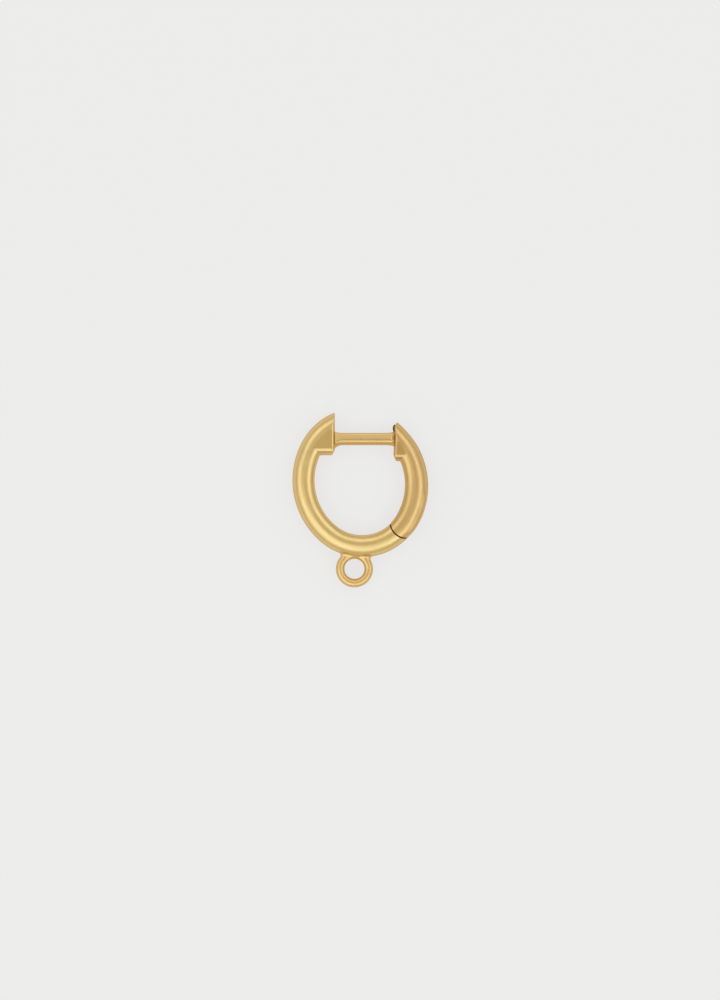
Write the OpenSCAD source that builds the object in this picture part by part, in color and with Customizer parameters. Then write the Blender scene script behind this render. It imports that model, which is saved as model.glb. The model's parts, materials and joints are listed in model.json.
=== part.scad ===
// Hinged hoop earring with a fixed charm ring, lying on its side.
// X runs along the ear post, Y up the hoop, and Z is the hoop's own axis.

/* [Hoop] */
// Outer width of the hoop, square to its long axis
hoop_w = 11; // [9.5:0.1:14]
// Outer length of the hoop along its long axis
hoop_l = 12.2; // [10.5:0.1:15]
// Thickness of the round wire
wire_d = 1.8; // [1.4:0.05:2.2]
// Lean of the long axis towards the fixed block, in degrees
lean = 10.4; // [0:0.2:16]
// Half of the angle that each flatter side arc spans, in degrees
side_angle = 38.9; // [34:0.1:44]

/* [Blocks] */
// Distance from the hoop's middle to the fixed block's end face
fixed_face = 2.06; // [1.6:0.02:2.6]
// Open gap between the two end faces, which the post crosses
post_gap = 4.8; // [4.2:0.02:5.4]
// Height of the fixed block's underside above the hoop's middle
fixed_under = 2.24; // [1.9:0.02:2.7]
// Height of the arm block's underside above the hoop's middle
arm_under = 1.76; // [1.5:0.02:2.6]
// How far a block's flat side lies below the crest of the wire
flat_depth = 0.02; // [0.01:0.01:0.1]
// Width of the bevel along the edges of a block
bevel = 0.18; // [0.05:0.01:0.3]
// Width of the slanted corner under an end face
corner_w = 0.24; // [0.1:0.02:0.4]
// Height of the slanted corner under an end face
corner_h = 0.48; // [0.2:0.02:0.7]
// Size of the corner taken off the tip of the arm block
tip_cut = 0.44; // [0.2:0.02:0.6]

/* [Post] */
// Thickness of the ear post
post_d = 1; // [0.8:0.05:1.1]
// Height of the post's axis above the hoop's middle
post_up = 3.56; // [3.3:0.02:3.8]
// Thickness of the slim tip that the socket takes
tip_d = 0.66; // [0.5:0.02:0.68]
// Length of the slim tip inside the socket
tip_l = 0.76; // [0.5:0.02:0.9]
// Distance from the tip's shoulder to the arm's end face
shoulder_gap = 0.08; // [0.02:0.01:0.1]
// Clearance round the tip, which the swing of the arm needs
socket_clear = 0.1; // [0.08:0.01:0.15]
// Width of the bevel at the end of the tip
tip_bevel = 0.12; // [0.05:0.01:0.2]

/* [Hinge] */
// Angle from the side arc's lower end down to the hinge, in degrees
hinge_angle = 3.7; // [1:0.1:12]
// Radius of the arm's round end, seen as the curved seam
seam_r = 1.28; // [1.15:0.01:1.45]
// Gap between the arm's round end and the hollow that it turns in
seam_gap = 0.09; // [0.05:0.01:0.15]
// Thickness of the tongue between the arm's two cheeks
tongue_t = 0.6; // [0.4:0.05:0.7]
// Radius of the tongue's round end
tongue_r = 0.74; // [0.6:0.01:0.8]
// Clearance on each side of the tongue
tongue_play = 0.05; // [0.03:0.01:0.1]
// Thickness of the hinge pin
pin_d = 0.5; // [0.4:0.05:0.6]
// Length of the hinge pin
pin_l = 1.48; // [1.3:0.02:1.52]
// Clearance round the pin in the tongue, where it turns
pin_play = 0.03; // [0.02:0.01:0.05]
// Clearance round the pin and past its ends in the cheeks
pin_seat = 0.01; // [0.01:0.01:0.03]

/* [Charm ring] */
// Outer diameter of the charm ring
charm_d = 3.04; // [2.6:0.02:4]
// Thickness of the charm ring's wire
charm_wire = 0.71; // [0.5:0.01:0.9]
// Angle from the long axis back to the charm ring, in degrees
charm_turn = 16.2; // [0:0.2:30]
// How deep the charm ring is let into the hoop's wire
charm_sink = 0.54; // [0.4:0.01:0.7]

/* [Hidden] */
$fn = 96;
gold = "#D2AC6E";

function polar(r, a) = [r * cos(a), r * sin(a)];

// Rounds to a whole number of these steps in each millimetre or degree
steps = 100;
function coarse(v) = round(steps * v) / steps;

// The wire's centreline is an oval of four arcs that meet smoothly. Its own frame has the
// long axis along Y; the hoop then leans by the angle lean.
wire_r = wire_d / 2;
half_w = hoop_w / 2 - wire_r;
half_l = hoop_l / 2 - wire_r;
arc_half = coarse(side_angle);
arc_change = (half_l - half_w) / (cos(arc_half) + sin(arc_half) - 1);
side_r = half_w + arc_change * cos(arc_half);
end_r = half_l - arc_change * sin(arc_half);
side_off = side_r - half_w;
end_off = half_l - end_r;
join_y = end_off + end_r * sin(arc_half);

// The middles of the upper and the lower end arc, once the hoop leans
upper_c = polar(end_off, lean + 90);
lower_c = -upper_c;
outer_r = end_r + wire_r;

// Height of the hoop's outer edge at a point x along the post
function edge_y(x) = upper_c.y + sqrt(outer_r * outer_r - (x - upper_c.x) * (x - upper_c.x));

// How deep the core of a joint lies under the wire's surface
core_depth = wire_r / 5;

// Blocks: each end face stands square to the post
arm_face = post_gap - fixed_face;
block_t = wire_d - 2 * flat_depth;
reach = hoop_l;

// Hinge: its pin stands on the wire's centreline. The arm's wire starts a little beyond its
// round end, and the fixed wire ends halfway out on the tongue.
hinge_at = -arc_half - hinge_angle;
hinge_c = lower_c + polar(end_r, lean + hinge_at);
beyond_end = 1.3;
hinge_sweep = beyond_end * 2 * asin(seam_r / (2 * end_r));
neck_sweep = 2 * asin(tongue_r / 2 / (2 * end_r));
slot_t = tongue_t + 2 * tongue_play;

// Charm ring
charm_r = charm_d / 2;
charm_c = lower_c + polar(outer_r + charm_r - charm_sink, lean - 90 - charm_turn);

// The origin is under the middle of the whole part
mid_y = (edge_y(-fixed_face) + charm_c.y - charm_r) / 2;

module placed() {
    translate([0, -mid_y, wire_r]) children();
}

// A coarse and a fine step keep every digit, so that arcs meet without a gap
module fine_move(v) {
    near = [for (c = v) coarse(c)];
    translate(near) translate(v - near) children();
}

module wire_arc(centre, radius, from, to) {
    fine_move(centre) rotate_extrude(angle = to - from, start = from)
        fine_move([radius, 0]) circle(r = wire_r);
}

// side is -1 for the side of the fixed block and 1 for the side of the arm
module side_arc(side) {
    wire_arc([-side * side_off, 0], side_r, 90 - side * 90 - arc_half, 90 - side * 90 + arc_half);
}

module upper_arc(side) {
    wire_arc([0, end_off], end_r, side > 0 ? arc_half : 90, side > 0 ? 90 : 180 - arc_half);
}

module lower_arc(from, to) {
    wire_arc([0, -end_off], end_r, from, to);
}

// The area inside the wire's centreline, above its middle
module oval_face(side) {
    intersection() {
        translate([-side * side_off, 0]) circle(r = side_r);
        translate([-reach, 0]) square([2 * reach, join_y]);
    }
    intersection() {
        translate([0, end_off]) circle(r = end_r);
        translate([-reach, join_y]) square([2 * reach, reach]);
    }
}

// The flat-sided end of the hoop, whose underside has bevelled edges
module end_block(side, face, under) {
    edge = bevel * sqrt(2);
    difference() {
        linear_extrude(block_t, center = true) intersection() {
            rotate(lean) oval_face(side);
            polygon([
                [0, under + corner_h],
                [side * face, under + corner_h],
                [side * (face + corner_w), under],
                [side * reach, under],
                [side * reach, reach],
                [0, reach],
            ]);
        }
        for (z = [-1, 1]) translate([0, under, z * block_t / 2]) rotate([45, 0, 0])
            cube([2 * reach, edge, edge], center = true);
    }
}

// The space for the ear lobe between the two end faces, wider at their bevelled edges
module ear_gap() {
    inner = block_t / 2 - bevel;
    outer = wire_d;
    flare = outer - inner;
    translate([0, reach, 0]) rotate([90, 0, 0]) linear_extrude(reach) polygon([
        [-fixed_face, inner],
        [-fixed_face - flare, outer],
        [arm_face + flare, outer],
        [arm_face, inner],
        [arm_face, -inner],
        [arm_face + flare, -outer],
        [-fixed_face - flare, -outer],
        [-fixed_face, -inner],
    ]);
}

// A slimmer core across the joint of a side arc and an end arc makes them one body
module arc_core(side, level) {
    turn = side > 0 ? level * arc_half : 180 - level * arc_half;
    translate(level * [0, end_off] + polar(end_r, turn)) rotate([90, 0, turn])
        cylinder(r = wire_r - core_depth, h = wire_r, center = true);
}

module hoop_wire() {
    rotate(lean) {
        upper_arc(-1);
        side_arc(-1);
        lower_arc(arc_half - 180, hinge_at - neck_sweep);
        for (level = [-1, 1]) arc_core(-1, level);
    }
}

// The hollow that the arm's round end turns in leaves the tongue standing in the middle
module hinge_hollow() {
    for (z = [-1, 1]) translate([hinge_c.x, hinge_c.y, z * (tongue_t + wire_d) / 2])
        cylinder(r = seam_r + seam_gap, h = wire_d, center = true);
}

module hinge_tongue() {
    translate(hinge_c) cylinder(r = tongue_r, h = tongue_t, center = true);
}

module ear_post() {
    shoulder = arm_face - shoulder_gap;
    tip_end = arm_face + tip_l;
    root = fixed_face + post_d;
    translate([-root, post_up, 0]) rotate([0, 90, 0]) {
        cylinder(d = post_d, h = root + shoulder);
        cylinder(d = tip_d, h = root + tip_end - tip_bevel);
        translate([0, 0, root + tip_end - tip_bevel])
            cylinder(d1 = tip_d, d2 = tip_d - 2 * tip_bevel, h = tip_bevel);
    }
}

module charm_ring() {
    translate(charm_c) rotate_extrude()
        translate([charm_r - charm_wire / 2, 0]) circle(d = charm_wire);
}

module hoop_body() {
    color(gold) placed() difference() {
        union() {
            difference() {
                union() {
                    hoop_wire();
                    end_block(-1, fixed_face, fixed_under);
                }
                ear_gap();
                hinge_hollow();
            }
            ear_post();
            charm_ring();
            hinge_tongue();
        }
        translate(hinge_c) cylinder(r = pin_d / 2 + pin_play, h = wire_d, center = true);
    }
}

module arm_wire() {
    rotate(lean) {
        lower_arc(hinge_at - hinge_sweep, -arc_half);
        side_arc(1);
        upper_arc(1);
        for (level = [-1, 1]) arc_core(1, level);
    }
}

// What lies beyond the round end of the arm
module beyond_arm() {
    translate(hinge_c) rotate(lean + hinge_at) difference() {
        translate([0, -reach / 2, 0]) cube([reach, reach, 2 * wire_d], center = true);
        cylinder(r = seam_r, h = 3 * wire_d, center = true);
    }
}

// The slot for the tongue is open all round the pin and ends in a flat floor
module tongue_slot() {
    floor_at = tongue_r + seam_gap;
    translate(hinge_c) rotate(lean + hinge_at)
        translate([0, floor_at - seam_r, 0])
            cube([2 * wire_d, 2 * seam_r, slot_t], center = true);
}

module post_socket() {
    depth = tip_l + socket_clear;
    translate([arm_face - depth, post_up, 0]) rotate([0, 90, 0])
        cylinder(r = tip_d / 2 + socket_clear, h = 2 * depth);
}

module arm_tip_cut() {
    side = tip_cut * sqrt(2);
    translate([arm_face, edge_y(arm_face), 0]) rotate(45)
        cube([side, side, 2 * wire_d], center = true);
}

module clasp_arm() {
    color(gold) placed() difference() {
        union() {
            arm_wire();
            end_block(1, arm_face, arm_under);
        }
        ear_gap();
        beyond_arm();
        tongue_slot();
        post_socket();
        arm_tip_cut();
        translate(hinge_c)
            cylinder(r = pin_d / 2 + pin_seat, h = pin_l + 2 * pin_seat, center = true);
    }
}

module hinge_pin() {
    color(gold) placed() translate(hinge_c)
        cylinder(d = pin_d, h = pin_l, center = true);
}

hoop_body();
clasp_arm();
hinge_pin();
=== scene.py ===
"""Hinged hoop earring with a charm ring, in satin-polished gold plate, lying on its side.

The frame gives the places of the hinge, the ear post and the charm's eye. Shapes are worked
in millimetres, because a skin of the fine grain that small castings need can only be made at
that scale, and a finished piece is brought to metres.
"""

import json
import math
from types import SimpleNamespace

import bmesh
import bpy
from bpy.props import FloatProperty, PointerProperty, StringProperty
from mathutils import Matrix, Vector


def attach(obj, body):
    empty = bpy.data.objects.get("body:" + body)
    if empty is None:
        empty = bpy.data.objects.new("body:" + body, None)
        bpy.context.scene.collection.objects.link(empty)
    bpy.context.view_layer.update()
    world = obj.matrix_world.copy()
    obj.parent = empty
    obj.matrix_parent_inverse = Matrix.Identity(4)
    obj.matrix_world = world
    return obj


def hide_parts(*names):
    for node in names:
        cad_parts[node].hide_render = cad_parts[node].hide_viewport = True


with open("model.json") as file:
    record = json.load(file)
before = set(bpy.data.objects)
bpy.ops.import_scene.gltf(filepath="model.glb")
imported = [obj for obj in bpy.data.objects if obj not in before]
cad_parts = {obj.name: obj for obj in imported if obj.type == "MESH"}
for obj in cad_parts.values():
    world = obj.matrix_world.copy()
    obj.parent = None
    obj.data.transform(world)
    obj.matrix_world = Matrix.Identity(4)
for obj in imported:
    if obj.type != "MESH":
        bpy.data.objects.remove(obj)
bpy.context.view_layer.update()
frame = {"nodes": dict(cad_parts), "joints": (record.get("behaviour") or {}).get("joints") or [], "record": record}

bl_info = {
    "name": "Hinged Hoop Earring",
    "version": (1, 0, 0),
    "blender": (4, 5, 0),
    "location": "View3D > Sidebar > Earring",
    "description": "Builds a small hinged hoop earring with a charm ring, and its studio",
    "category": "Add Mesh",
}

# A millimetre in metres
MM = 0.001
# Millimetres that keep two faces off one plane, and within which two places count as one
FLUSH = 0.004
# Millimetres from the hoop's plane that clear the wire on either side
PAST_WIRE = 2
# Lays an upright shape along X
ALONG_X = Matrix.Rotation(math.pi / 2, 4, "Y")

RECORD = frame["record"]
MOUNTS = {mount["name"]: mount for mount in RECORD["mounts"]}
POST, EYE, HINGE = MOUNTS["ear_post"], MOUNTS["charm_eye"], frame["joints"][0]
POST_AT, EYE_AT, HINGE_AT = (Vector(place["pos_m"]) / MM for place in (POST, EYE, HINGE))

# Finishes
OUTSIDE, RICH, WARM = "satin gold plate", "rich satin gold plate", "warm satin gold plate"
LAPPED, RICH_LAPPED = "lapped gold plate", "rich lapped gold plate"
# The catch nub's brass finish is painted dark: painted shade over the socket
# The dull inside finish is painted darker than the plate: painted shade in the hinge's hollow, its slot and the
# socket
SHADED_INSIDE, POLISHED, SHADED_BRASS = "dull gold plate with painted shade", "polished gold plate", "brass painted dark as shade"
# The finishes of each half of the earring, by its outer one, in the order of their slots
FINISHES = {
    OUTSIDE: (OUTSIDE, SHADED_INSIDE, LAPPED, RICH, WARM),
    RICH: (RICH, SHADED_INSIDE, RICH_LAPPED, SHADED_BRASS),
}
CUT, FLAT, SPECIAL, RING = 1, 2, 3, 4
# How level a face is that the lap has touched
FLAT_WITHIN = math.cos(math.radians(8))

# Where the two wires end on the upper arc, within the stretch that the ear gap takes away
FIXED_START, ARM_STOP = math.radians(104), math.radians(64)
# How far the arm's wire runs on past the hinge, in seam radii, before its round end is cut
RUN_ON = 1.3
# The arm's wire is fuller past the hinge and slimmer further up: where, and over what angle
SWELL_FROM_HINGE, SWELL_SPREAD = math.radians(12), math.radians(60)
WAIST_AT, WAIST_SPREAD = math.radians(43), math.radians(17)
# The angle over which the arm's outside is squared, so that the hinge's slot leaves no notch
SQUARE_SPREAD = math.radians(24)
# Power of the rounded square that the post's upper front follows; 2 is a circle
POST_SQUARENESS = 4
ROOT_STEPS, ROUNDING_STEPS = 6, 8

# How far tumbling and flowed solder soften a casting, and what stays a sharp edge
SOFTENING, TUMBLE_PASSES, FLOW_PASSES = 0.5, 14, 90
SHARP_FROM = math.radians(38)


def length(name, default_mm, description):
    """A size in metres whose default is given in millimetres."""
    return FloatProperty(
        name=name,
        description=description,
        default=default_mm * MM,
        min=0,
        precision=5,
        subtype="DISTANCE",
        unit="LENGTH",
    )


def turn(name, default_degrees, description):
    """An angle whose default is given in degrees."""
    return FloatProperty(
        name=name,
        description=description,
        default=math.radians(default_degrees),
        subtype="ANGLE",
        unit="ROTATION",
    )


def shade(name, default_hex, description):
    """A colour as an sRGB hex value."""
    return StringProperty(name=name, description=description, default=default_hex)


class EarringSizes(bpy.types.PropertyGroup):
    """Sizes of the hoop, its ends, its post, its hinge and its charm ring."""

    hoop_w: length("Hoop width", 11, "Outer width of the hoop, square to its long axis")
    hoop_l: length("Hoop length", 12.2, "Outer length of the hoop along its long axis")
    wire: length("Wire thickness", 1.8, "Thickness of the hoop's round wire")
    lean: turn("Lean", 10.4, "Lean of the long axis towards the fixed end")
    side_angle: turn("Side angle", 38.9, "Half of the angle of each flatter side arc")
    crown: length("Crown", 0.08, "How far inside the wire's middle its crest lies")
    inner_top: length("Inner top radius", 0.95, "Radius of the wire's upper inner side")
    swell: length("Swell", 0.06, "How much fuller the arm's wire is beside the hinge")
    waist: length("Waist", 0.04, "How much slimmer the arm's wire is below its end")

    fixed_face: length("Fixed end face", 2.06, "From the middle to the fixed end face")
    arm_face: length("Arm end face", 2.8, "From the middle to the arm's end face, at the post")
    arm_lean: turn("Arm face lean", 2.4, "How far the arm's end face leans back at its top")
    fixed_under: length("Fixed underside", 2.24, "Height of the fixed end's underside")
    arm_under: length("Arm underside", 1.76, "Height of the arm end's underside")
    flat_depth: length("Flat depth", 0.02, "How far a flat side lies under the wire's crest")
    face_round: length("Face rounding", 0.3, "Rounding along the edges of an end face")
    under_round: length("Underside rounding", 0.52, "Width of the rounding under an end")
    under_drop: length("Underside drop", 0.85, "Height of the rounding under an end")
    corner_w: length("Corner width", 0.22, "Width of the slanted corner under a face")
    corner_h: length("Corner height", 0.48, "Height of the slanted corner under a face")
    tip_cut: length("Tip cut", 0.55, "How far below the arm's sharp tip its cut starts")
    tip_turn: turn("Tip cut angle", 56, "Angle of the cut across the arm's tip")

    post_flat: length("Post flat", 0.05, "Depth of the flat that runs along the post")
    post_flat_turn: turn("Post flat turn", 15, "How far the post's flat turns up")
    post_end: length("Post end gap", 0.005, "Gap between the post's shoulder and the arm")
    post_flare: length("Post end flare", 0.13, "How much the post widens at its shoulder")
    collar_l: length("Collar length", 0.18, "Length of the collar at the post's shoulder")
    collar_oval: length("Collar oval", 0.06, "How much further the collar stands out front and back")
    post_tip: length("Post tip", 0.66, "Thickness of the slim tip that the socket takes")
    tip_l: length("Tip length", 0.76, "Length of the slim tip inside the socket")
    socket_clear: length("Socket clearance", 0.1, "Clearance round the slim tip")
    root_flare: length("Root flare", 0.17, "How much the post widens at its root")
    root_l: length("Root length", 0.6, "Length over which the post widens at its root")

    seam_r: length("Seam radius", 1.28, "Radius of the arm's round end")
    seam_gap: length("Seam gap", 0.12, "Gap round the arm's round end")
    tongue_t: length("Tongue thickness", 0.6, "Thickness of the tongue in the hinge")
    tongue_r: length("Tongue radius", 0.74, "Radius of the tongue's round end")
    tongue_play: length("Tongue play", 0.05, "Clearance on each side of the tongue")

    nub_w: length("Catch nub width", 0.64, "Width of the small catch nub over the socket")
    nub_t: length("Catch nub thickness", 0.7, "Thickness of the catch nub, square to the hoop")
    nub_up: length("Catch nub height", 0.87, "From the post's axis to the catch nub")
    nub_out: length("Catch nub reach", 0.17, "How far the nub stands out of the arm's end face")

    charm_wire: length("Charm ring wire", 0.71, "Thickness of the charm ring's wire")
    solder: length("Solder", 0.3, "Radius of the solder beads beside the charm ring")
    solder_flow: length("Solder flow", 0.66, "How far round a bead the solder has flowed")
    grain: length("Skin grain", 0.045, "Width of the faces that a cast skin is made of")


class EarringColours(bpy.types.PropertyGroup):
    """Colours of the gold plate and of the studio."""

    gold: shade("Gold plate", "#E9CF96", "Reflection colour of the satin gold plate")
    gold_deep: shade("Deep gold", "#E5C78B", "Gold where the plate is a little richer")
    gold_arm: shade("Arm's gold", "#DFBF88", "The richer plate of the arm and the post")
    gold_arm_deep: shade("Arm's deep gold", "#DBB87E", "Where the arm's plate is richest")
    gold_ring: shade("Ring's gold", "#E6C58C", "The slightly warmer plate of the charm ring")
    gold_ring_deep: shade("Ring's deep gold", "#E2BE82", "Where the ring's plate is richest")
    edge: shade("Edge", "#DCC8A8", "Tone of the plate where it is seen along its surface")
    # Painted shade: the inside colours darken the hinge's hollow, its slot and the socket, besides giving them a
    # duller plate
    inside: shade("Inside", "#A8763E", "Dull plate inside the hinge and the socket")
    inside_shade_deep: shade("Inside, deep", "#8A5A2A", "The dullest plate inside the hinge")
    # Painted shade: the catch nub's dark brass colours stand for the shaded spot over the socket
    nub: shade("Catch nub", "#8C7352", "Bare brass of the catch nub, darkened by handling")
    nub_shade_deep: shade("Catch nub, deep", "#6E583C", "The darkest of the brass painted dark as shade")
    floor: shade("Floor", "#686868", "Plain pale floor, an opal sheet")
    floor_glow: shade("Floor glow", "#F6F6F7", "Light that comes through the opal sheet")
    softbox: shade("Softbox", "#DDF0FF", "Cool daylight of the softboxes")
    room: shade("Room", "#DCD1B8", "Light of the room round the softboxes")


def sizes():
    """The sizes that the scene holds, in metres and radians."""
    return bpy.context.scene.earring_sizes


def mm(value):
    """Metres to the millimetres that shapes are worked in."""
    return value / MM


def polar(radius, angle):
    """A point in the hoop's plane, by its distance and its direction."""
    return Vector((radius * math.cos(angle), radius * math.sin(angle), 0))


def arc(centre, radius, start, end):
    """A stretch of a circle in the hoop's plane."""
    return SimpleNamespace(centre=centre, radius=radius, start=start, end=end)


def arc_points(centre, radius, start, end, steps):
    """Points at equal steps along an arc, with both of its ends."""
    return [
        centre + polar(radius, start + (end - start) * i / steps) for i in range(steps + 1)
    ]


def chord_angle(chord, radius):
    """The angle that a chord takes up on a circle."""
    return 2 * math.asin(chord / 2 / radius)


def hoop_form():
    """The wire's centreline as four arcs, its middle and the hinge's turn, in millimetres."""
    s = sizes()
    wire_r = mm(s.wire) / 2
    half_w, half_l = mm(s.hoop_w) / 2 - wire_r, mm(s.hoop_l) / 2 - wire_r
    half, lean = s.side_angle, s.lean
    # The side arcs' radius less the end arcs', for which the arcs meet without a corner
    flatter = (half_l - half_w) / (math.cos(half) + math.sin(half) - 1)
    side_r, end_r = half_w + flatter * math.cos(half), half_l - flatter * math.sin(half)
    to_upper = polar(half_l - end_r, lean + math.pi / 2)
    to_left = polar(side_r - half_w, lean)

    hinge_turn = -math.acos((HINGE_AT.x + to_upper.x) / end_r)
    middle = HINGE_AT + to_upper - polar(end_r, hinge_turn)
    upper, lower, left, right = (
        middle + to for to in (to_upper, -to_upper, to_left, -to_left)
    )
    return SimpleNamespace(
        wire_r=wire_r,
        middle=middle,
        hinge_turn=hinge_turn,
        upper=arc(upper, end_r, lean + half, lean + math.pi - half),
        left=arc(left, side_r, lean + math.pi - half, lean + math.pi + half),
        lower=arc(lower, end_r, lean + math.pi + half, lean + 2 * math.pi - half),
        right=arc(right, side_r, lean - half, lean + half),
    )


def ends():
    """The two flat-sided ends that face each other across the ear gap."""
    s = sizes()
    return SimpleNamespace(
        fixed=SimpleNamespace(side=-1, face=-mm(s.fixed_face), under=mm(s.fixed_under), lean=0),
        arm=SimpleNamespace(side=1, face=mm(s.arm_face), under=mm(s.arm_under), lean=s.arm_lean),
    )


def face_x(end, y):
    """Where an end face stands at a height in the hoop's plane."""
    return end.face + (y - mm(POST["pos_m"][1])) * math.tan(end.lean)


# Scratch shapes and what is done to them


def scratch(name, bm):
    """A closed shape as a scratch object, with its faces pointing out."""
    bmesh.ops.recalc_face_normals(bm, faces=bm.faces)
    mesh = bpy.data.meshes.new(name)
    bm.to_mesh(mesh)
    bm.free()
    obj = bpy.data.objects.new(name, mesh)
    bpy.context.scene.collection.objects.link(obj)
    return obj


def discard(obj):
    """Removes a scratch object and its mesh."""
    mesh = obj.data
    bpy.data.objects.remove(obj)
    bpy.data.meshes.remove(mesh)


def join(objects):
    """Lays closed shapes that overlap into one object."""
    bm = bmesh.new()
    for obj in objects:
        bm.from_mesh(obj.data)
    for obj in objects:
        discard(obj)
    return scratch("joined", bm)


def run_modifier(obj, kind, **settings):
    """Runs one modifier on a scratch object and keeps what it makes."""
    modifier = obj.modifiers.new(kind.title(), kind)
    for name, value in settings.items():
        setattr(modifier, name, value)
    bpy.context.view_layer.update()
    shown = obj.evaluated_get(bpy.context.evaluated_depsgraph_get())
    made = bpy.data.meshes.new_from_object(shown)
    obj.modifiers.remove(modifier)
    old, obj.data = obj.data, made
    bpy.data.meshes.remove(old)


def give_finishes(obj, outer=OUTSIDE):
    """Gives the finishes of one half: outer, cuts, flat sides, post or nub, and ring."""
    obj.data.materials.clear()
    for name in FINISHES[outer]:
        obj.data.materials.append(bpy.data.materials[name])


def combine(obj, tool, operation, overlapping=False, finish=CUT):
    """Cuts an object with a tool or joins it, and uses the tool up.

    The object may be made of shapes that overlap, which takes the slower solver."""
    if len(obj.data.materials) > 1:
        give_finishes(tool, obj.data.materials[0].name)
        for face in tool.data.polygons:
            face.material_index = finish
    how = {"solver": "EXACT", "use_self": True} if overlapping else {"solver": "FAST"}
    run_modifier(obj, "BOOLEAN", object=tool, operation=operation, **how)
    discard(tool)


def cast(obj):
    """Melts overlapping shapes into one skin, then tumbles its edges soft."""
    run_modifier(obj, "REMESH", mode="VOXEL", voxel_size=mm(sizes().grain))
    run_modifier(obj, "SMOOTH", factor=SOFTENING, iterations=TUMBLE_PASSES)


def flow(obj, places, reach):
    """Smooths the skin further round some places, as solder does when it flows."""
    group = obj.vertex_groups.new(name="solder")
    for vert in obj.data.vertices:
        nearest = min((vert.co - place).length for place in places)
        if nearest < reach:
            group.add([vert.index], 1 - (nearest / reach) ** 2, "REPLACE")
    run_modifier(obj, "SMOOTH", factor=SOFTENING, iterations=FLOW_PASSES, vertex_group=group.name)
    obj.vertex_groups.clear()


def finish_piece(obj, name, body, node):
    """Brings a piece to metres, sets its shading and what it rides on, and hides the frame's part that it takes
    the place of.
    """
    obj.name = obj.data.name = name
    obj.data.transform(Matrix.Scale(MM, 4))
    obj.data.shade_smooth()
    obj.data.set_sharp_from_angle(angle=SHARP_FROM)
    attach(obj, body)
    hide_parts(node)


def ring_edges(verts):
    """The edges of a ring of vertices, each once."""
    return list(dict.fromkeys(edge for vert in verts for edge in vert.link_edges))


def fill_ends(bm):
    """Closes a tube at both of its ends."""
    open_edges = [edge for edge in bm.edges if edge.is_boundary]
    bmesh.ops.holes_fill(bm, edges=open_edges, sides=0)


def slab(bm, outline, low, high):
    """A plate over a closed outline of points in the XY plane, from low to high."""
    verts = [bm.verts.new((point[0], point[1], low)) for point in outline]
    face = bm.faces.new(verts)
    raised = bmesh.ops.extrude_face_region(bm, geom=[face])["geom"]
    raised = [item for item in raised if isinstance(item, bmesh.types.BMVert)]
    bmesh.ops.translate(bm, vec=(0, 0, high - low), verts=raised)


def cylinder(centre, radius, low, high, segments=96):
    """An upright cylinder between two heights."""
    bm = bmesh.new()
    place = Matrix.Translation((centre.x, centre.y, (low + high) / 2))
    bmesh.ops.create_cone(
        bm,
        cap_ends=True,
        segments=segments,
        radius1=radius,
        radius2=radius,
        depth=high - low,
        matrix=place,
    )
    return scratch("cylinder", bm)


def ball(place, radius=1):
    """A ball, which a place that scales makes an egg."""
    bm = bmesh.new()
    bmesh.ops.create_uvsphere(bm, u_segments=24, v_segments=16, radius=radius, matrix=place)
    return scratch("ball", bm)


# The hoop's wire


def wire_section(across, up, radius):
    """Where a point of a round section goes: the crest lies inward, the inner side is squarer.

    From the crest, the inner side turns down on a wide arc to 45 degrees, and then on a
    tighter one to a short upright wall."""
    crown, top_r = mm(sizes().crown), mm(sizes().inner_top)
    if across > 0:
        return across - crown * (up / radius) ** 2, up
    slope, half = math.atan2(-across, abs(up)), math.sqrt(0.5)
    side_r = (radius - crown - top_r * half) / (1 - half)
    shallow, steep = min(slope, math.pi / 4), max(slope, math.pi / 4)
    reach = top_r * math.sin(shallow) + side_r * (math.sin(steep) - half)
    drop = top_r * (1 - math.cos(shallow)) + side_r * (half - math.cos(steep))
    return -crown - reach, math.copysign(radius - drop, up)


def add_wire(bm, arcs, radius, segments=64, step=math.radians(1.5)):
    """Sweeps the wire's section along arcs in a row."""
    first = arcs[0]
    place = Matrix.Translation(first.centre + polar(first.radius, first.start))
    upright = Matrix.Rotation(first.start, 4, "Z") @ Matrix.Rotation(math.pi / 2, 4, "X")
    ring = bmesh.ops.create_circle(
        bm, cap_ends=False, segments=segments, radius=radius, matrix=place @ upright
    )["verts"]
    outward = polar(1, first.start)
    for vert in ring:
        from_line = vert.co - first.centre - first.radius * outward
        across, up = wire_section(from_line.dot(outward), from_line.z, radius)
        vert.co = first.centre + (first.radius + across) * outward + Vector((0, 0, up))
    last = ring + ring_edges(ring)
    for part in arcs:
        angle = part.end - part.start
        last = bmesh.ops.spin(
            bm,
            geom=last,
            cent=part.centre,
            axis=(0, 0, 1),
            angle=angle,
            steps=max(1, round(abs(angle) / step)),
            use_merge=False,
            use_duplicate=False,
        )["geom_last"]
    fill_ends(bm)


def fill_out(bm, form, arcs, amount, peak, spread):
    """Makes the wire fuller round one place, or slimmer for an amount below zero.

    The change is in the hoop's plane alone; square to it, the wire is as thick as before."""
    for vert in bm.verts:
        for part in arcs:
            out = vert.co - part.centre
            angle = math.atan2(out.y, out.x)
            if part.start <= angle < part.end:
                nearness = max(0, 1 - ((angle - peak) / spread) ** 2)
                line = part.centre + polar(part.radius, angle)
                beside = Vector((vert.co.x - line.x, vert.co.y - line.y, 0))
                vert.co += beside * nearness**2 * amount / form.wire_r
                break


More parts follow.
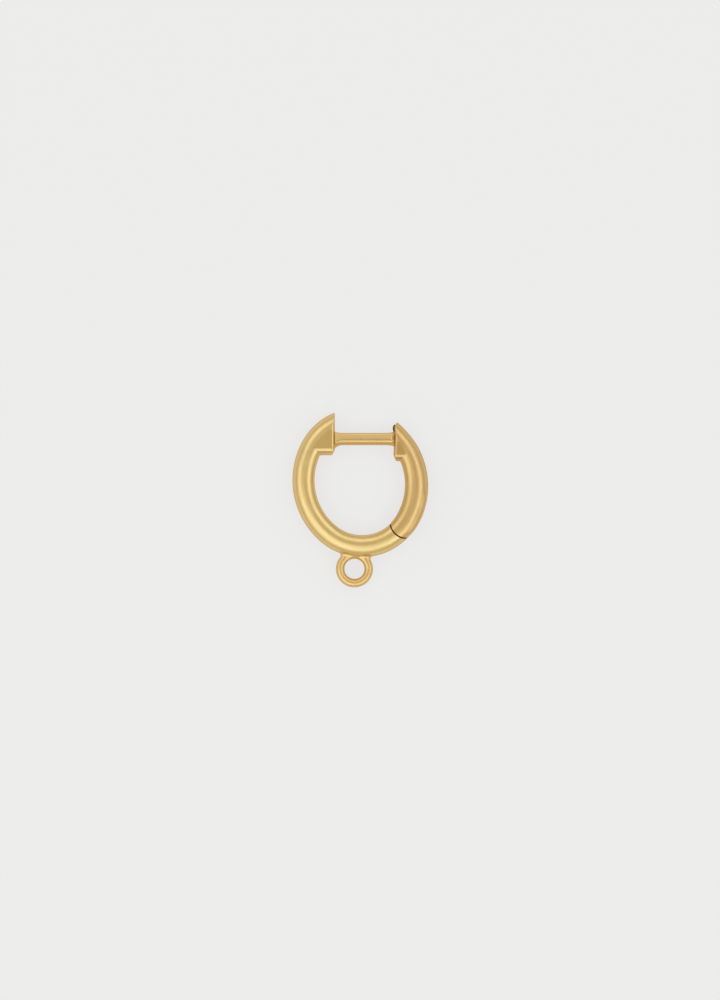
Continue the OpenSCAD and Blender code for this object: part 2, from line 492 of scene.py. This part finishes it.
def square_out(bm, form, part, peak, spread):
    """Squares the outside of the wire over the hinge's slot, which then leaves no notch."""
    half_slot = mm(sizes().tongue_t) / 2 + mm(sizes().tongue_play)
    for vert in bm.verts:
        out = vert.co - part.centre
        z, angle = abs(vert.co.z - part.centre.z), math.atan2(out.y, out.x)
        nearness = max(0, 1 - abs((angle - peak) / spread) ** 4)
        if out.xy.length > part.radius and nearness:
            fade = max(0, min(1, (2 * half_slot - z) / half_slot))
            missing = form.wire_r - math.sqrt(max(0, form.wire_r**2 - z**2))
            vert.co += polar(missing * fade * nearness, angle)


def fixed_wire(form):
    """The long wire, from the fixed end round to the neck of the hinge's tongue."""
    upper, lower = form.upper, form.lower
    neck = chord_angle(mm(sizes().tongue_r) / 2, lower.radius)
    arcs = [
        arc(upper.centre, upper.radius, FIXED_START, upper.end),
        form.left,
        arc(lower.centre, lower.radius, lower.start, 2 * math.pi + form.hinge_turn - neck),
    ]
    bm = bmesh.new()
    add_wire(bm, arcs, form.wire_r)
    return scratch("fixed_wire", bm)


def arm_wire(form):
    """The arm's wire, which is fuller past the hinge and slimmer below the arm's end."""
    s, upper, lower = sizes(), form.upper, form.lower
    run_on = RUN_ON * chord_angle(mm(s.seam_r), lower.radius)
    arcs = [
        arc(lower.centre, lower.radius, form.hinge_turn - run_on, form.right.start),
        form.right,
        arc(upper.centre, upper.radius, upper.start, ARM_STOP),
    ]
    swell_at = form.hinge_turn + SWELL_FROM_HINGE
    bm = bmesh.new()
    add_wire(bm, arcs, form.wire_r)
    fill_out(bm, form, arcs, mm(s.swell), swell_at, SWELL_SPREAD)
    fill_out(bm, form, arcs, -mm(s.waist), WAIST_AT, WAIST_SPREAD)
    square_out(bm, form, arcs[0], swell_at, SQUARE_SPREAD)
    return scratch("arm_wire", bm)


# The flat-sided ends


def foot(point):
    """Where a point stands in the hoop's plane, to a micrometre."""
    return round(point.x, 3), round(point.y, 3)


def end_block(form, end):
    """The flat-sided end: it fills the inside of the wire's bend, level under it."""
    s, top = sizes(), form.upper
    half_t, level = form.wire_r - mm(s.flat_depth), form.middle.y + end.under
    corner = Vector((end.face - end.side * form.wire_r / 2, level, 0))
    from_top = level - top.centre.y
    on_wire = top.centre.x + end.side * math.sqrt(top.radius**2 - from_top**2)
    start = math.atan2(from_top, on_wire - top.centre.x)
    finish = math.acos((corner.x - top.centre.x) / top.radius)
    outline = [corner, *arc_points(top.centre, top.radius, start, finish, steps=5)]
    # A bevel is as deep as it is wide, so the block is bevelled squat and then drawn out
    squat = s.under_round / s.under_drop
    bm = bmesh.new()
    slab(bm, outline, -half_t * squat, half_t * squat)
    underside = {foot(point) for point in outline[:2]}
    rims = [edge for edge in bm.edges if {foot(vert.co) for vert in edge.verts} == underside]
    bmesh.ops.bevel(
        bm,
        geom=rims,
        offset=mm(s.under_round),
        offset_type="OFFSET",
        segments=ROUNDING_STEPS,
        profile=0.5,
        affect="EDGES",
        material=-1,
        clamp_overlap=False,
    )
    bmesh.ops.scale(bm, vec=(1, 1, 1 / squat), verts=bm.verts)
    bmesh.ops.translate(bm, vec=(0, 0, form.middle.z), verts=bm.verts)
    return scratch("end_block", bm)


def upright_cutter(form, corners):
    """A cutter over corners in the hoop's plane, which stands out of the wire on both sides."""
    bm = bmesh.new()
    slab(bm, corners, -form.wire_r, 3 * form.wire_r)
    return scratch("upright_cutter", bm)


def corner_cutter(form, end):
    """What is taken off the corner between an end face and its underside."""
    s = sizes()
    level = form.middle.y + end.under
    high = Vector((face_x(end, level + mm(s.corner_h)), level + mm(s.corner_h), 0))
    low = Vector((face_x(end, level) + end.side * mm(s.corner_w), level, 0))
    along, out = low - high, Vector((-end.side * form.wire_r, 0, 0))
    return upright_cutter(
        form, [high - along, low + along, low + along + out, high - along + out]
    )


def tip_cutter(form):
    """What is taken off the sharp tip of the arm's end."""
    s, top = sizes(), form.upper
    outer_r, face = top.radius + form.wire_r, ends().arm.face
    tip_y = top.centre.y + math.sqrt(outer_r**2 - (face - top.centre.x) ** 2)
    start = Vector((face, tip_y - mm(s.tip_cut), 0))
    along = polar(2 * form.wire_r, s.tip_turn)
    across = polar(2 * form.wire_r, s.tip_turn + math.pi / 2)
    return upright_cutter(
        form, [start - along, start + along, start + along + across, start - along + across]
    )


def ear_gap(form):
    """The cutter that leaves the two end faces, with a rounding along their edges.

    It is drawn as seen along Y, and stood up in its place."""
    rounding = mm(sizes().face_round)
    straight, far = form.wire_r - rounding, 2 * form.wire_r
    outline = []
    both = ends()
    for end in (both.fixed, both.arm):
        edge = []
        for way in (-1, 1):
            centre = Vector((end.face + end.side * rounding, way * straight, 0))
            start = math.pi if end.side > 0 else 0
            curve = [
                Vector((p.x, centre.y + way * (p.y - centre.y), 0))
                for p in arc_points(centre, rounding, start, math.pi / 2, steps=ROUNDING_STEPS)
            ]
            curve.append(Vector((centre.x, way * far, 0)))
            edge.append(curve)
        loop = list(reversed(edge[0])) + edge[1]
        outline += loop if end.side < 0 else list(reversed(loop))
    bm = bmesh.new()
    slab(bm, outline, 0, 2 * form.upper.radius)
    stand = Matrix.Translation(form.middle) @ Matrix.Rotation(-math.pi / 2, 4, "X")
    bmesh.ops.transform(bm, matrix=stand, verts=bm.verts)
    for vert in bm.verts:
        if vert.co.x > 0:
            vert.co.x += face_x(both.arm, vert.co.y) - both.arm.face
    return scratch("ear_gap", bm)


def lap(obj, form, end):
    """Gives the flat sides of an end the smoother finish that a lap leaves."""
    s, top = sizes(), form.upper
    level, highest = form.middle.y + end.under, form.wire_r - mm(s.flat_depth) / 4
    for face in obj.data.polygons:
        place, height = face.center, abs(face.center.z - form.middle.z)
        inside = (place - top.centre).xy.length < top.radius - mm(s.crown)
        if inside and place.y > level and height < highest and abs(face.normal.z) > FLAT_WITHIN:
            face.material_index = FLAT


# The ear post, its socket and the catch nub


def post_shoulder():
    """Where the post's collar ends, just before the arm's end face."""
    return mm(sizes().arm_face) - mm(sizes().post_end)


def post_stations():
    """Rings along the post, from inside the fixed end to its tip: X, radius, drop of its axis."""
    s = sizes()
    radius, reach = POST["dims"]["r_mm"], POST["dims"]["length_mm"] / 2
    root, shoulder = POST_AT.x - reach, post_shoulder()
    flare, flare_l, end_flare = mm(s.root_flare), mm(s.root_l), mm(s.post_flare)
    tip_end, tip_r = mm(s.arm_face) + mm(s.tip_l), mm(s.post_tip) / 2
    stations = [(root - radius, radius + flare, -flare / 2)]
    for i in range(ROOT_STEPS + 1):
        left = (1 - i / ROOT_STEPS) ** 2
        x = root + flare_l * i / ROOT_STEPS
        stations.append((x, radius + flare * left, -flare / 2 * left))
    return stations + [
        (shoulder - flare_l, radius, 0),
        (shoulder - mm(s.collar_l), radius + end_flare / 3, 0),
        (shoulder, radius + end_flare, 0),
        (shoulder, tip_r, 0),
        (tip_end - tip_r / 3, tip_r, 0),
        (tip_end, tip_r * 2 / 3, 0),
    ]


def draw_bar(bm, stations, segments=48):
    """A round bar along the post's axis, through rings of given X, radius and drop."""
    x, r, drop = stations[0]
    place = Matrix.Translation((x, POST_AT.y + drop, POST_AT.z)) @ ALONG_X
    ring = bmesh.ops.create_circle(
        bm, cap_ends=False, segments=segments, radius=r, matrix=place
    )["verts"]
    edges = ring_edges(ring)
    for next_x, next_r, next_drop in stations[1:]:
        made = bmesh.ops.extrude_edge_only(bm, edges=edges)["geom"]
        verts = [item for item in made if isinstance(item, bmesh.types.BMVert)]
        edges = [item for item in made if isinstance(item, bmesh.types.BMEdge)]
        about = Matrix.Translation((-x, -(POST_AT.y + drop), -POST_AT.z))
        bmesh.ops.scale(bm, vec=(1, next_r / r, next_r / r), verts=verts, space=about)
        bmesh.ops.translate(bm, vec=(next_x - x, next_drop - drop, 0), verts=verts)
        x, r, drop = next_x, next_r, next_drop
    fill_ends(bm)


def ear_post():
    """The straight post: squarer and flat in front, with an oval collar before its slim tip."""
    s, radius, shoulder = sizes(), POST["dims"]["r_mm"], post_shoulder()
    flat_way = Vector((0, math.sin(s.post_flat_turn), math.cos(s.post_flat_turn)))
    bm = bmesh.new()
    draw_bar(bm, post_stations())
    for vert in bm.verts:
        up, front = vert.co.y - POST_AT.y, vert.co.z - POST_AT.z
        from_axis = math.hypot(up, front)
        # The collar's rim is drawn out front and back, and gets no flat
        if abs(vert.co.x - shoulder) < FLUSH and from_axis > radius:
            vert.co.z += mm(s.collar_oval) * front / from_axis
            continue
        # The upper front is squared as far as the collar, and the flat is then cut into it
        if min(up, front) > 0 and vert.co.x < shoulder - FLUSH:
            squared = (up**POST_SQUARENESS + front**POST_SQUARENESS) ** (1 / POST_SQUARENESS)
            vert.co += Vector((0, up, front)) * (from_axis / squared - 1)
        over = (vert.co - POST_AT).dot(flat_way) - radius + mm(s.post_flat)
        vert.co -= max(0, over) * flat_way
    return scratch("ear_post", bm)


def socket_cutter():
    """The round hole in the arm's end face, which takes the post's slim tip."""
    s = sizes()
    depth, radius = mm(s.tip_l) + mm(s.socket_clear), mm(s.post_tip) / 2 + mm(s.socket_clear)
    socket = cylinder(Vector((0, 0, 0)), radius, -depth, depth)
    socket.data.transform(Matrix.Translation((mm(s.arm_face), POST_AT.y, POST_AT.z)) @ ALONG_X)
    return socket


def catch_nub(form, end):
    """The small nub over the socket that the arm clicks shut with."""
    s = sizes()
    y = mm(POST["pos_m"][1] + s.nub_up)
    place = Matrix.Translation((face_x(end, y), y, form.middle.z))
    half = Matrix.Diagonal((mm(s.nub_out), mm(s.nub_w) / 2, mm(s.nub_t) / 2, 1))
    return ball(place @ half)


# The charm ring and its solder


def charm_ring():
    """The plain round ring under the hoop."""
    wire_r = mm(sizes().charm_wire) / 2
    radius = EYE["dims"]["r_mm"] + wire_r
    upright = Matrix.Rotation(math.pi / 2, 4, "X")
    place = Matrix.Translation(EYE_AT + Vector((radius, 0, 0))) @ upright
    bm = bmesh.new()
    ring = bmesh.ops.create_circle(
        bm, cap_ends=False, segments=32, radius=wire_r, matrix=place
    )["verts"]
    bmesh.ops.spin(
        bm,
        geom=ring + ring_edges(ring),
        cent=EYE_AT,
        axis=(0, 0, 1),
        angle=2 * math.pi,
        steps=96,
        use_merge=True,
        use_duplicate=False,
    )
    return scratch("charm_ring", bm)


def solder_places(form):
    """Where a bead lies, in each corner between the charm ring and the hoop."""
    s = sizes()
    bead_r, ring_r = mm(s.solder), EYE["dims"]["r_mm"] + mm(s.charm_wire)
    edge_r = form.lower.radius + form.wire_r
    apart = EYE_AT - form.lower.centre
    from_centre = (edge_r**2 - ring_r**2 + apart.length_squared) / (2 * apart.length)
    half_chord = math.sqrt(edge_r**2 - from_centre**2)
    along = apart.normalized()
    across = Vector((-along.y, along.x, 0))
    middle = form.lower.centre + along * from_centre
    return [middle + way * across * (half_chord - bead_r / 3) for way in (-1, 1)]


def solder_beads(form):
    """A bead of solder in each of those corners."""
    return [ball(Matrix.Translation(at), mm(sizes().solder)) for at in solder_places(form)]


def plate_soldered(obj, form):
    """Gives the ear post and the charm ring, each drawn from a wire of its own, their plate."""
    s = sizes()
    ring_reach = EYE["dims"]["r_mm"] + mm(s.charm_wire) + mm(s.solder)
    hoop_reach = form.lower.radius + form.wire_r
    for face in obj.data.polygons:
        place = face.center
        if place.x > -mm(s.fixed_face) + FLUSH and place.y > mm(s.arm_under):
            face.material_index = SPECIAL
        past_hoop = (place - form.lower.centre).xy.length > hoop_reach
        if past_hoop and (place - EYE_AT).xy.length < ring_reach:
            face.material_index = RING


# The hinge


def hinge_disc(form, radius, low, high):
    """A disc round the hinge's axis, between two heights over the wire's middle."""
    return cylinder(HINGE_AT, radius, form.middle.z + low, form.middle.z + high)


def hinge_cutter(form, outline, half_t):
    """A plate whose outline is drawn from the hinge, with Y along the wire to the arm."""
    bm = bmesh.new()
    slab(bm, outline, -half_t, half_t)
    turn_to = Matrix.Rotation(form.hinge_turn, 4, "Z")
    bmesh.ops.transform(bm, matrix=Matrix.Translation(HINGE_AT) @ turn_to, verts=bm.verts)
    return scratch("hinge_cutter", bm)


def round_end_cutter(form):
    """What is taken off the arm's wire to leave its round end."""
    seam_r = mm(sizes().seam_r)
    far = 4 * seam_r
    round_end = arc_points(Vector((0, 0, 0)), seam_r, -math.pi, 0, steps=48)
    return hinge_cutter(form, round_end + [(far, 0), (far, -far), (-far, -far), (-far, 0)], far)


def slot_cutter(form):
    """The slot between the arm's two cheeks, which takes the tongue."""
    s = sizes()
    far, floor_at = 4 * mm(s.seam_r), mm(s.tongue_r) + mm(s.seam_gap)
    outline = [(-far, -far), (far, -far), (far, floor_at), (-far, floor_at)]
    return hinge_cutter(form, outline, mm(s.tongue_t) / 2 + mm(s.tongue_play))


# Materials


def linear(code):
    """An sRGB hex value as linear RGBA."""
    parts = [int(code[i : i + 2], 16) / 255 for i in (1, 3, 5)]
    return (*[c / 12.92 if c <= 0.04045 else ((c + 0.055) / 1.055) ** 2.4 for c in parts], 1)


def new_material(name):
    """An empty node material, with the Object coordinates that its patterns lie on."""
    material = bpy.data.materials.new(name)
    material.use_nodes = True
    tree = material.node_tree
    tree.nodes.clear()
    return material, tree, add_node(tree, "ShaderNodeTexCoord").outputs["Object"]


def add_node(tree, kind, settings=None, **links):
    """Adds a node, sets what is named and links outputs of other nodes to its inputs."""
    node = tree.nodes.new(kind)
    for name, value in (settings or {}).items():
        if name in node.inputs:
            node.inputs[name].default_value = value
        else:
            setattr(node, name, value)
    for name, output in links.items():
        tree.links.new(output, node.inputs[name.replace("_", " ")])
    return node


def buffed_metal(name, main, deep, roughness):
    """Gold plate over cast brass, or the brass itself painted dark as shade on the catch nub, tumbled and buffed.

    The eye gets a soft broad sheen, a richer tone that drifts over a few millimetres, and the
    faint unevenness that buffing by hand leaves."""
    material, tree, place = new_material(name)
    # The grain of the polish is a few micrometres wide, and is drawn coarser so that it shows
    drift_mm, buff_mm, grain_mm = 2.6, 0.9, 0.05
    buff_depth_mm, grain_depth_mm = 0.01, 0.002
    smoother, rougher = roughness - 0.03, roughness + 0.04
    drift = add_node(tree, "ShaderNodeTexNoise", {"Scale": 1 / (drift_mm * MM)}, Vector=place)
    buff = add_node(
        tree, "ShaderNodeTexNoise", {"Scale": 1 / (buff_mm * MM), "Detail": 1}, Vector=place
    )
    grain = add_node(
        tree, "ShaderNodeTexNoise", {"Scale": 1 / (grain_mm * MM), "Detail": 3}, Vector=place
    )
    # A mix of colours takes them in sockets 6 and 7, and gives the result in socket 2
    tone = add_node(tree, "ShaderNodeMix", {"data_type": "RGBA"})
    tone.inputs[6].default_value = linear(main)
    tone.inputs[7].default_value = linear(deep)
    tree.links.new(drift.outputs["Fac"], tone.inputs[0])
    rough = add_node(
        tree,
        "ShaderNodeMapRange",
        {"From Min": 0.3, "From Max": 0.7, "To Min": smoother, "To Max": rougher},
        Value=buff.outputs["Fac"],
    )
    soft = add_node(
        tree,
        "ShaderNodeBump",
        {"Strength": 0.35, "Distance": buff_depth_mm * MM},
        Height=buff.outputs["Fac"],
    )
    fine = add_node(
        tree,
        "ShaderNodeBump",
        {"Strength": 0.15, "Distance": grain_depth_mm * MM},
        Height=grain.outputs["Fac"],
        Normal=soft.outputs["Normal"],
    )
    shader = add_node(
        tree,
        "ShaderNodeBsdfPrincipled",
        {"Metallic": 1.0, "Specular Tint": linear(bpy.context.scene.earring_colours.edge)},
        Base_Color=tone.outputs[2],
        Roughness=rough.outputs["Result"],
        Normal=fine.outputs["Normal"],
    )
    add_node(tree, "ShaderNodeOutputMaterial", Surface=shader.outputs["BSDF"])


def opal_sheet():
    """Opal acrylic, sanded matt and lit from below: a pale, even, nearly shadowless tone."""
    colours = bpy.context.scene.earring_colours
    material, tree, place = new_material("sanded opal acrylic")
    # The grit of the sanding is drawn coarser than it is, so that it shows
    grit_mm, grit_depth_mm = 0.4, 0.01
    grit = add_node(
        tree, "ShaderNodeTexNoise", {"Scale": 1 / (grit_mm * MM), "Detail": 2}, Vector=place
    )
    skin = add_node(
        tree,
        "ShaderNodeBump",
        {"Strength": 0.05, "Distance": grit_depth_mm * MM},
        Height=grit.outputs["Fac"],
    )
    shader = add_node(
        tree,
        "ShaderNodeBsdfPrincipled",
        {
            "Base Color": linear(colours.floor),
            "Roughness": 0.85,
            "Specular IOR Level": 0.2,
            "Emission Color": linear(colours.floor_glow),
            "Emission Strength": 0.76,
        },
        Normal=skin.outputs["Normal"],
    )
    add_node(tree, "ShaderNodeOutputMaterial", Surface=shader.outputs["BSDF"])
    return material


# Pieces


class EARRING_OT_finishes(bpy.types.Operator):
    """Make the finishes of the gold plate, and the darker colours painted as shade inside the hinge and on the
    catch nub
    """

    bl_idname = "earring.finishes"
    bl_label = "Finishes"

    def execute(self, context):
        colours = context.scene.earring_colours
        gold = (colours.gold, colours.gold_deep)
        rich = (colours.gold_arm, colours.gold_arm_deep)
        # Satin plate has a soft sheen, a lapped flat a clearer one, and the inside stays dull and is painted
        # darker as painted shade
        satin, lapped, polished, dull = 0.3, 0.14, 0.18, 0.5
        buffed_metal(OUTSIDE, *gold, satin)
        buffed_metal(RICH, *rich, satin)
        buffed_metal(WARM, colours.gold_ring, colours.gold_ring_deep, satin)
        buffed_metal(LAPPED, *gold, lapped)
        buffed_metal(RICH_LAPPED, *rich, lapped)
        # Dull plate painted dark, as painted shade in the hinge and the socket
        buffed_metal(SHADED_INSIDE, colours.inside, colours.inside_shade_deep, dull)
        buffed_metal(POLISHED, *gold, polished)
        # Brass painted dark, as painted shade on the catch nub
        buffed_metal(SHADED_BRASS, colours.nub, colours.nub_shade_deep, dull)
        return {"FINISHED"}


class EARRING_OT_fixed_half(bpy.types.Operator):
    """Build the fixed half: wire, flat-sided end, ear post, charm ring and hinge tongue"""

    bl_idname = "earring.fixed_half"
    bl_label = "Fixed Half"

    def execute(self, context):
        s, form, end = sizes(), hoop_form(), ends().fixed
        body = join([fixed_wire(form), end_block(form, end)])
        for cutter in (ear_gap(form), corner_cutter(form, end)):
            combine(body, cutter, "DIFFERENCE", overlapping=True)
        body = join([body, ear_post(), charm_ring(), *solder_beads(form)])
        cast(body)
        flow(body, solder_places(form), mm(s.solder_flow))
        give_finishes(body)
        lap(body, form, end)
        plate_soldered(body, form)

        hollow_r, half_tongue = mm(s.seam_r) + mm(s.seam_gap), mm(s.tongue_t) / 2
        for low, high in ((half_tongue, PAST_WIRE), (-PAST_WIRE, -half_tongue)):
            combine(body, hinge_disc(form, hollow_r, low, high), "DIFFERENCE")
        under_flush = half_tongue - FLUSH
        tongue = hinge_disc(form, mm(s.tongue_r), -under_flush, under_flush)
        combine(body, tongue, "UNION")
        finish_piece(body, "fixed_half", "hoop", "hoop_body")
        return {"FINISHED"}


class EARRING_OT_swing_arm(bpy.types.Operator):
    """Build the arm that swings open: wire, flat-sided end, socket and hinge cheeks"""

    bl_idname = "earring.swing_arm"
    bl_label = "Swing Arm"

    def execute(self, context):
        form, end = hoop_form(), ends().arm
        body = join([arm_wire(form), end_block(form, end)])
        for cutter in (ear_gap(form), corner_cutter(form, end), tip_cutter(form)):
            combine(body, cutter, "DIFFERENCE", overlapping=True)
        cast(body)
        give_finishes(body, RICH)
        lap(body, form, end)
        for cutter in (round_end_cutter(form), slot_cutter(form), socket_cutter()):
            combine(body, cutter, "DIFFERENCE")
        # The nub takes the dark brass, which is painted shade
        combine(body, catch_nub(form, end), "UNION", finish=SPECIAL)
        finish_piece(body, "swing_arm", "arm", "clasp_arm")
        return {"FINISHED"}


class EARRING_OT_hinge_pin(bpy.types.Operator):
    """Give the hinge pin its polished finish; its shape is the frame's own"""

    bl_idname = "earring.hinge_pin"
    bl_label = "Hinge Pin"

    def execute(self, context):
        pin = frame["nodes"]["hinge_pin"]
        pin.data.materials.clear()
        pin.data.materials.append(bpy.data.materials[POLISHED])
        return {"FINISHED"}


# The studio, in metres and watts

# The photograph shows 81.66 mm from top to bottom, at the level of the wire's middle
VIEW_HEIGHT, WIRE_MIDDLE = 0.08166, 0.0009
LENS_MM, SENSOR_MM = 60, 36
CAMERA_HEIGHT = WIRE_MIDDLE + VIEW_HEIGHT * LENS_MM / SENSOR_MM
FLOOR_HALF = 0.6
ROOM_STRENGTH = 0.9
SOFTBOX_DISTANCE = 0.26
# Softboxes round the camera's axis: turn and tilt in degrees, side and power
SOFTBOX_COLUMNS = ("name", "turn", "tilt", "side", "power")
SOFTBOXES = (
    ("right", 0, 46, 0.14, 0.056),
    ("upper right", 45, 48, 0.14, 0.054),
    ("top", 90, 49, 0.14, 0.046),
    ("upper left", 135, 49, 0.14, 0.05),
    ("left", 180, 49, 0.14, 0.046),
    ("lower left", 225, 43, 0.19, 0.094),
    ("bottom", 270, 46, 0.14, 0.048),
    ("lower right", 315, 46, 0.14, 0.064),
    ("near the camera, left", 228, 17, 0.08, 0.016),
    ("near the camera, right", 292, 20, 0.08, 0.012),
)


def lay_floor(scene):
    """The plain sheet that the earring lies on."""
    bm = bmesh.new()
    bmesh.ops.create_grid(bm, x_segments=1, y_segments=1, size=FLOOR_HALF)
    mesh = bpy.data.meshes.new("floor")
    bm.to_mesh(mesh)
    bm.free()
    floor = bpy.data.objects.new("floor", mesh)
    floor.data.materials.append(opal_sheet())
    scene.collection.objects.link(floor)


def hang_softboxes(scene):
    """A ring of square softboxes that face the earring, and two near the camera."""
    for row in SOFTBOXES:
        box = dict(zip(SOFTBOX_COLUMNS, row))
        light = bpy.data.lights.new("softbox " + box["name"], "AREA")
        light.size, light.energy = box["side"], box["power"]
        light.color = linear(scene.earring_colours.softbox)[:3]
        lamp = bpy.data.objects.new(light.name, light)
        tilt, around = math.radians(box["tilt"]), math.radians(box["turn"])
        out = polar(math.sin(tilt), around) + Vector((0, 0, math.cos(tilt)))
        lamp.location = out * SOFTBOX_DISTANCE
        lamp.rotation_euler = out.to_track_quat("Z", "Y").to_euler()
        scene.collection.objects.link(lamp)


def light_room(scene):
    """The even light of a pale room."""
    world = bpy.data.worlds.new("studio room")
    world.use_nodes = True
    room = world.node_tree.nodes["Background"]
    room.inputs["Color"].default_value = linear(scene.earring_colours.room)
    room.inputs["Strength"].default_value = ROOM_STRENGTH
    scene.world = world
    scene.view_settings.view_transform = "Standard"


def set_camera(scene):
    """The camera, straight over the earring."""
    camera = bpy.data.objects.new("camera", bpy.data.cameras.new("camera"))
    camera.data.lens = LENS_MM
    camera.data.clip_start = 0.01
    camera.location = (0, 0, CAMERA_HEIGHT)
    scene.collection.objects.link(camera)
    scene.camera = camera


class EARRING_OT_studio(bpy.types.Operator):
    """Set the floor, the softboxes, the room's light and the camera"""

    bl_idname = "earring.studio"
    bl_label = "Studio"

    def execute(self, context):
        for part in (lay_floor, hang_softboxes, light_room, set_camera):
            part(context.scene)
        return {"FINISHED"}


class EARRING_PT_panel(bpy.types.Panel):
    """The earring's pieces, sizes and colours"""

    bl_idname = "EARRING_PT_panel"
    bl_label = "Hoop Earring"
    bl_space_type = "VIEW_3D"
    bl_region_type = "UI"
    bl_category = "Earring"

    def draw(self, context):
        for operator in OPERATORS:
            self.layout.operator(operator.bl_idname)
        for group in (context.scene.earring_sizes, context.scene.earring_colours):
            box = self.layout.box()
            for name in group.__annotations__:
                box.prop(group, name)


OPERATORS = (
    EARRING_OT_finishes,
    EARRING_OT_fixed_half,
    EARRING_OT_swing_arm,
    EARRING_OT_hinge_pin,
    EARRING_OT_studio,
)
CLASSES = (EarringSizes, EarringColours, *OPERATORS, EARRING_PT_panel)


def register():
    """Makes the operators, the panel and the scene's sizes and colours known."""
    for cls in CLASSES:
        bpy.utils.register_class(cls)
    bpy.types.Scene.earring_sizes = PointerProperty(type=EarringSizes)
    bpy.types.Scene.earring_colours = PointerProperty(type=EarringColours)


def unregister():
    """Takes back what register made known."""
    del bpy.types.Scene.earring_colours
    del bpy.types.Scene.earring_sizes
    for cls in reversed(CLASSES):
        bpy.utils.unregister_class(cls)


def main():
    register()
    bpy.ops.earring.finishes()
    bpy.ops.earring.fixed_half()
    bpy.ops.earring.swing_arm()
    bpy.ops.earring.hinge_pin()
    bpy.ops.earring.studio()
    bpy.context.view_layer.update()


if __name__ == "__main__":
    main()
